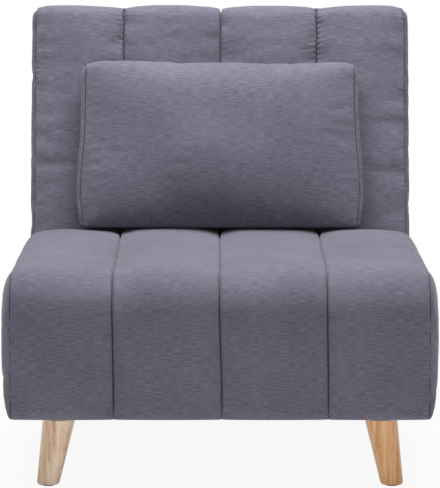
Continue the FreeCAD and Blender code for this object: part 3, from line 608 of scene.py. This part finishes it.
PILLOW_HALF = 264 * MM
PILLOW_REAR = -8.5 * MM
PILLOW_GUSSET = 64 * MM
PILLOW_HEIGHT = 323 * MM
PILLOW_LOW = 4.5 * MM
PILLOW_TOP = PILLOW_LOW + PILLOW_HEIGHT
PILLOW_FRONT = PILLOW_REAR - PILLOW_GUSSET
PILLOW_MIDDLE = PILLOW_REAR - PILLOW_GUSSET / 2
PILLOW_REACH = 30 * MM
PILLOW_CORNERS = [
    (PILLOW_REAR, PILLOW_LOW, 16 * MM),
    (PILLOW_FRONT, PILLOW_LOW, 14 * MM),
    (PILLOW_FRONT, PILLOW_TOP, 24 * MM),
    (PILLOW_REAR, PILLOW_TOP, 22 * MM),
]
PILLOW_CORE = [
    (PILLOW_MIDDLE + MM, PILLOW_LOW + PILLOW_REACH),
    (PILLOW_MIDDLE - MM, PILLOW_LOW + PILLOW_REACH),
    (PILLOW_MIDDLE - MM, PILLOW_TOP - PILLOW_REACH),
    (PILLOW_MIDDLE + MM, PILLOW_TOP - PILLOW_REACH),
]
FRONT_DOME, REAR_DOME, TOP_SAG = 44 * MM, 6 * MM, 7 * MM


def pillow_form(x, section):
    """Domes the pillow's front by 44 mm * (1 - |u|^2.8)^0.8 * (1 - |e|^2.6)^0.8 and its rear by 6 mm of the same.

    Then it lets the top sag between its corners, lets the foot down flat on the seat and spreads the ends below
    the middle. u runs across and e up the pillow, from -1 to 1."""
    depth, height = section[:, :, 0], section[:, :, 1]
    u = np.clip(x / PILLOW_HALF, -1, 1)
    e = np.clip(2 * (height - PILLOW_LOW) / PILLOW_HEIGHT - 1, -1, 1)
    towards = (PILLOW_MIDDLE - depth) / (PILLOW_GUSSET / 2)
    dome = (1 - np.abs(u) ** 2.8) ** 0.8 * (1 - np.abs(e) ** 2.6) ** 0.8
    depth = depth - dome * (FRONT_DOME * np.clip(towards, 0, 1) - REAR_DOME * np.clip(-towards, 0, 1))
    sag = np.exp(-((u - 0.12) / 0.62) ** 4) * TOP_SAG + np.clip(np.abs(u) - 0.93, 0, 1) * 60 * MM
    height = height - sag * ((e + 1) / 2) ** 3
    height = height + np.clip(depth, -72 * MM, 0) * math.tan(LEAN) * np.clip((0.2 - e) / 1.1, 0, 1) ** 1.5
    spread = 1 + 0.034 * np.exp(-((e + 0.55) / 0.5) ** 2) * np.abs(u) ** 5
    return x * spread, np.stack([depth, height], axis=2)


def pillow_supported(depth, height):
    """1 where the pillow leans on the back and stands on the seat, 0 elsewhere."""
    behind = np.clip(1 - np.abs(depth - PILLOW_REAR) / (10 * MM), 0, 1)
    below = np.clip(1 - np.abs(height - PILLOW_LOW) / (8 * MM), 0, 1)
    return np.maximum(behind, below)


boxed("pillow_cover_linen", PILLOW_CORNERS, PILLOW_CORE, PILLOW_REACH, [-PILLOW_HALF, PILLOW_HALF], 7 * MM, 6 * MM,
      pillow_form, leaning, "pillow", ("pillow_cover", "pillow_filling"), seed=29, step=8 * MM, pucker=0.4,
      tight=0.8, supported=pillow_supported, filling=(4.0, 0.002, 6 * MM))


# Room: a white floor and backdrop, soft light from above and in front

def backdrop_paint():
    """White paint that the camera sees as white, with the object's shadow faint on it near the object."""
    made, tree, shader = material("white_backdrop_paint")
    shader.inputs["Base Color"].default_value = linear("#ebebeb")
    shader.inputs["Roughness"].default_value = 0.9
    glow = node(tree, "ShaderNodeEmission", Color=linear("#ffffff"), Strength=1.0)
    path = node(tree, "ShaderNodeLightPath")
    seen = node(tree, "ShaderNodeMath", {"operation": "MAXIMUM"},
                i0=path.outputs["Is Camera Ray"], i1=path.outputs["Is Glossy Ray"])
    place = node(tree, "ShaderNodeTexCoord").outputs["Object"]
    away = node(tree, "ShaderNodeVectorMath", {"operation": "LENGTH"}, Vector=place)
    near = node(tree, "ShaderNodeMapRange", Value=away.outputs["Value"],
                From_Min=0.6, From_Max=1.3, To_Min=0.93, To_Max=1.0)
    share = node(tree, "ShaderNodeMath", {"operation": "MULTIPLY"}, i0=seen.outputs[0], i1=near.outputs[0])
    mixed = node(tree, "ShaderNodeMixShader", Fac=share.outputs[0], i1=shader.outputs[0], i2=glow.outputs[0])
    tree.links.new(mixed.outputs[0], tree.nodes["Material Output"].inputs["Surface"])
    return made


bpy.ops.mesh.primitive_plane_add(size=12, location=(0, 0, -0.5 * MM))
floor = bpy.context.object
floor.name = "floor"
floor.data.materials.append(backdrop_paint())

world = bpy.data.worlds.new("studio")
bpy.context.scene.world = world
world.use_nodes = True
background = world.node_tree.nodes["Background"]
background.inputs["Color"].default_value = linear("#ffffff")
path = node(world.node_tree, "ShaderNodeLightPath")
strength = node(world.node_tree, "ShaderNodeMapRange", Value=path.outputs["Is Camera Ray"], To_Min=0.25, To_Max=1.0)
world.node_tree.links.new(strength.outputs[0], background.inputs["Strength"])


def lamp(name, place, aim, size, power):
    """A rectangular area lamp at a place, aimed at a point; size in metres, power in watts."""
    data = bpy.data.lights.new(name, "AREA")
    data.shape = "RECTANGLE"
    data.size, data.size_y = size
    data.energy = power
    made = bpy.data.objects.new(name, data)
    made.location = place
    made.rotation_euler = (Vector(aim) - Vector(place)).to_track_quat("-Z", "Y").to_euler()
    bpy.context.scene.collection.objects.link(made)


lamp("overhead_softbox", (0.0, -0.3, 3.0), (0, -0.05, 0.4), (2.2, 1.6), 112)
lamp("front_fill", (0.3, -3.4, 1.5), (0, 0, 0.4), (2.0, 1.4), 6)

# Camera: a long lens a little above the chair, looking slightly down, fitted to the photograph
CAMERA_AWAY = 5.889
CAMERA_HEIGHT = 1.312
CAMERA_PITCH = math.radians(90 - 8.31)
camera_data = bpy.data.cameras.new("photo_camera")
camera_data.sensor_fit = "HORIZONTAL"
camera_data.sensor_width = 36
camera_data.lens = 270.9
camera = bpy.data.objects.new("photo_camera", camera_data)
camera.location = (0.0, SEAT_FRONT - CAMERA_AWAY, CAMERA_HEIGHT)
camera.rotation_euler = (CAMERA_PITCH, 0, 0)
bpy.context.scene.collection.objects.link(camera)
bpy.context.scene.camera = camera
bpy.context.scene.view_settings.view_transform = "Standard"
